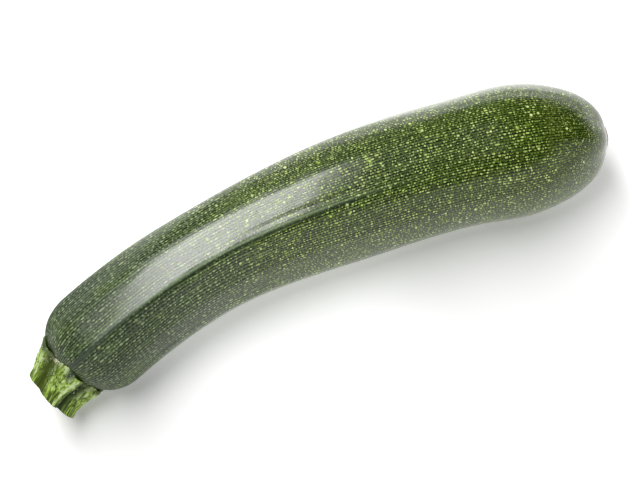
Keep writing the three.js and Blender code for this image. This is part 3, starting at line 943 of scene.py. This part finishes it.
def pale_floor():
    """White paint with a soft glow, brighter behind the courgette, and a painted shadow in front of
    its ends.
    """
    material, nodes = new_material("pale_floor")
    paint = nodes.add("ShaderNodeBsdfDiffuse", None, {"Color": FLOOR_PAINT})
    x, y, _ = nodes.separate(nodes.add("ShaderNodeTexCoord").out("Object"))
    backlit = nodes.span(y, 0.01, 0.035, 0.12, 0.26) * nodes.smooth(-0.12, 0.0, x + y * 0.35)
    backlit = backlit * nodes.smooth(0.03, 0.10, y, 0.8, 3.0) * nodes.smooth(0.065, -0.03, x, 0.4, 2.2)
    # Painted shadow: the glow is dimmed on the floor in front of the courgette's ends.
    ends = nodes.span(x, 0.0, 0.04, 0.06, 0.11) * 0.7 + nodes.smooth(-0.04, -0.08, x) * 0.8
    front = ends * nodes.span(y, -0.10, -0.05, -0.03, 0.0)
    strength = FLOOR_GLOW - front * FLOOR_PAINTED_SHADOW + backlit
    glow = nodes.add("ShaderNodeEmission", None, {"Color": rgb(1, 1, 1), "Strength": strength})
    finish_material(nodes, nodes.add("ShaderNodeAddShader", None, {0: paint, 1: glow}))
    return material


# ---- Studio --------------------------------------------------------------------------------------

# Angles are in degrees. Distances are in millimetres, apart from those that say metres.
CAMERA_AZIMUTH = -23.375
CAMERA_ELEVATION = 72.0
CAMERA_TARGET = (0.52, -4.90, 20.0)
CAMERA_DISTANCE = 511.0
CAMERA_LENS = 85.0
SENSOR_WIDTH = 36.0
LAMP_TARGET = (-0.015, 0.0, 0.03)  # metres
LAMP_DISTANCE = 0.9                # metres
LAMP_SPIN = 12.0                   # how far a lamp's width leans from the camera's horizontal
FLOOR_REACH = 4.0                  # metres
FLOOR_LEVEL = -5e-5                # metres, just clear of the courgette


def camera_axes():
    """Forwards, right and up of the camera."""
    azimuth, elevation = math.radians(CAMERA_AZIMUTH), math.radians(CAMERA_ELEVATION)
    level = math.cos(elevation)
    forward = Vector((-math.sin(azimuth) * level, math.cos(azimuth) * level, -math.sin(elevation)))
    right = Vector((math.cos(azimuth), math.sin(azimuth), 0.0))
    return forward, right, right.cross(forward)


def add_camera():
    forward, _, _ = camera_axes()
    data = bpy.data.cameras.new("camera")
    data.lens = CAMERA_LENS
    data.sensor_width = SENSOR_WIDTH
    camera = bpy.data.objects.new("camera", data)
    camera.location = (Vector(CAMERA_TARGET) - forward * CAMERA_DISTANCE) * MM
    camera.rotation_euler = forward.to_track_quat("-Z", "Y").to_euler()
    bpy.context.scene.collection.objects.link(camera)
    bpy.context.scene.camera = camera


def add_panel(name, up_angle, side_angle, size, radiance):
    """A rectangular light that faces the courgette, turned away from the camera by two angles."""
    forward, right, up = camera_axes()
    a, b, spin = math.radians(up_angle), math.radians(side_angle), math.radians(LAMP_SPIN)
    direction = math.cos(b) * (math.cos(a) * -forward + math.sin(a) * up) + math.sin(b) * right
    data = bpy.data.lights.new(name, "AREA")
    data.shape = "RECTANGLE"
    data.size, data.size_y = size
    data.energy = radiance * math.pi * size[0] * size[1]
    light = bpy.data.objects.new(name, data)
    light.location = Vector(LAMP_TARGET) + direction * LAMP_DISTANCE
    across = (math.cos(spin) * right + math.sin(spin) * up).normalized()
    across = (across - across.dot(direction) * direction).normalized()
    upward = direction.cross(across)
    light.rotation_euler = Matrix((across, upward, direction)).transposed().to_euler()
    bpy.context.scene.collection.objects.link(light)


def add_floor():
    mesh = bpy.data.meshes.new("floor")
    corners = [(-1, -1), (1, -1), (1, 1), (-1, 1)]
    corners = [(x * FLOOR_REACH, y * FLOOR_REACH, FLOOR_LEVEL) for x, y in corners]
    mesh.from_pydata(corners, [], [(0, 1, 2, 3)])
    mesh.materials.append(pale_floor())
    floor = bpy.data.objects.new("floor", mesh)
    bpy.context.scene.collection.objects.link(floor)


def add_world():
    """Soft light from a low wall all round and from three pale cards. The camera sees plain white."""
    world = bpy.data.worlds.new("studio")
    world.use_nodes = True
    world.node_tree.nodes.clear()
    nodes = Nodes(world.node_tree)
    side, depth, height = nodes.separate(nodes.add("ShaderNodeTexCoord").out("Generated"))
    low_wall = nodes.smooth(0.02, 0.12, height, 0.7, 0.03) * nodes.smooth(-0.7, -0.2, side, 0.3, 1.0)
    front = nodes.smooth(0.66, 0.42, height) * nodes.smooth(0.10, 0.50, -depth) * 0.9
    back = nodes.smooth(0.15, 0.05, height) * nodes.smooth(0.2, 0.6, depth)
    back = back * nodes.smooth(-0.6, -0.2, side) * 2.5
    end = nodes.smooth(0.85, 0.60, height) * nodes.smooth(0.30, 0.70, side)
    end = end * nodes.smooth(-0.1, -0.5, depth) * 0.8
    room = nodes.math("MAXIMUM", low_wall, front)
    room = nodes.math("MAXIMUM", room, nodes.math("MAXIMUM", back, end))
    seen = nodes.add("ShaderNodeLightPath").out("Is Camera Ray")
    strength = room * (1.0 - seen) + seen
    background = nodes.add("ShaderNodeBackground", None, {"Color": rgb(1, 1, 1), "Strength": strength})
    nodes.add("ShaderNodeOutputWorld", None, {"Surface": background})
    bpy.context.scene.world = world


# ---- Making it -----------------------------------------------------------------------------------

fruit = grow_fruit(courgette_skin())
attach(fruit, "root")
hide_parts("fruit")

stalk = grow_stalk(stalk_fibre())
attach(stalk, "root")
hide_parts("stem")

add_floor()
add_world()
add_camera()
add_panel("softbox", up_angle=31.0, side_angle=-16.7, size=(0.308, 0.88), radiance=10.4)
add_panel("upper_softbox", up_angle=65.0, side_angle=-27.5, size=(0.240, 0.30), radiance=3.0)
bpy.context.scene.view_settings.view_transform = "Standard"
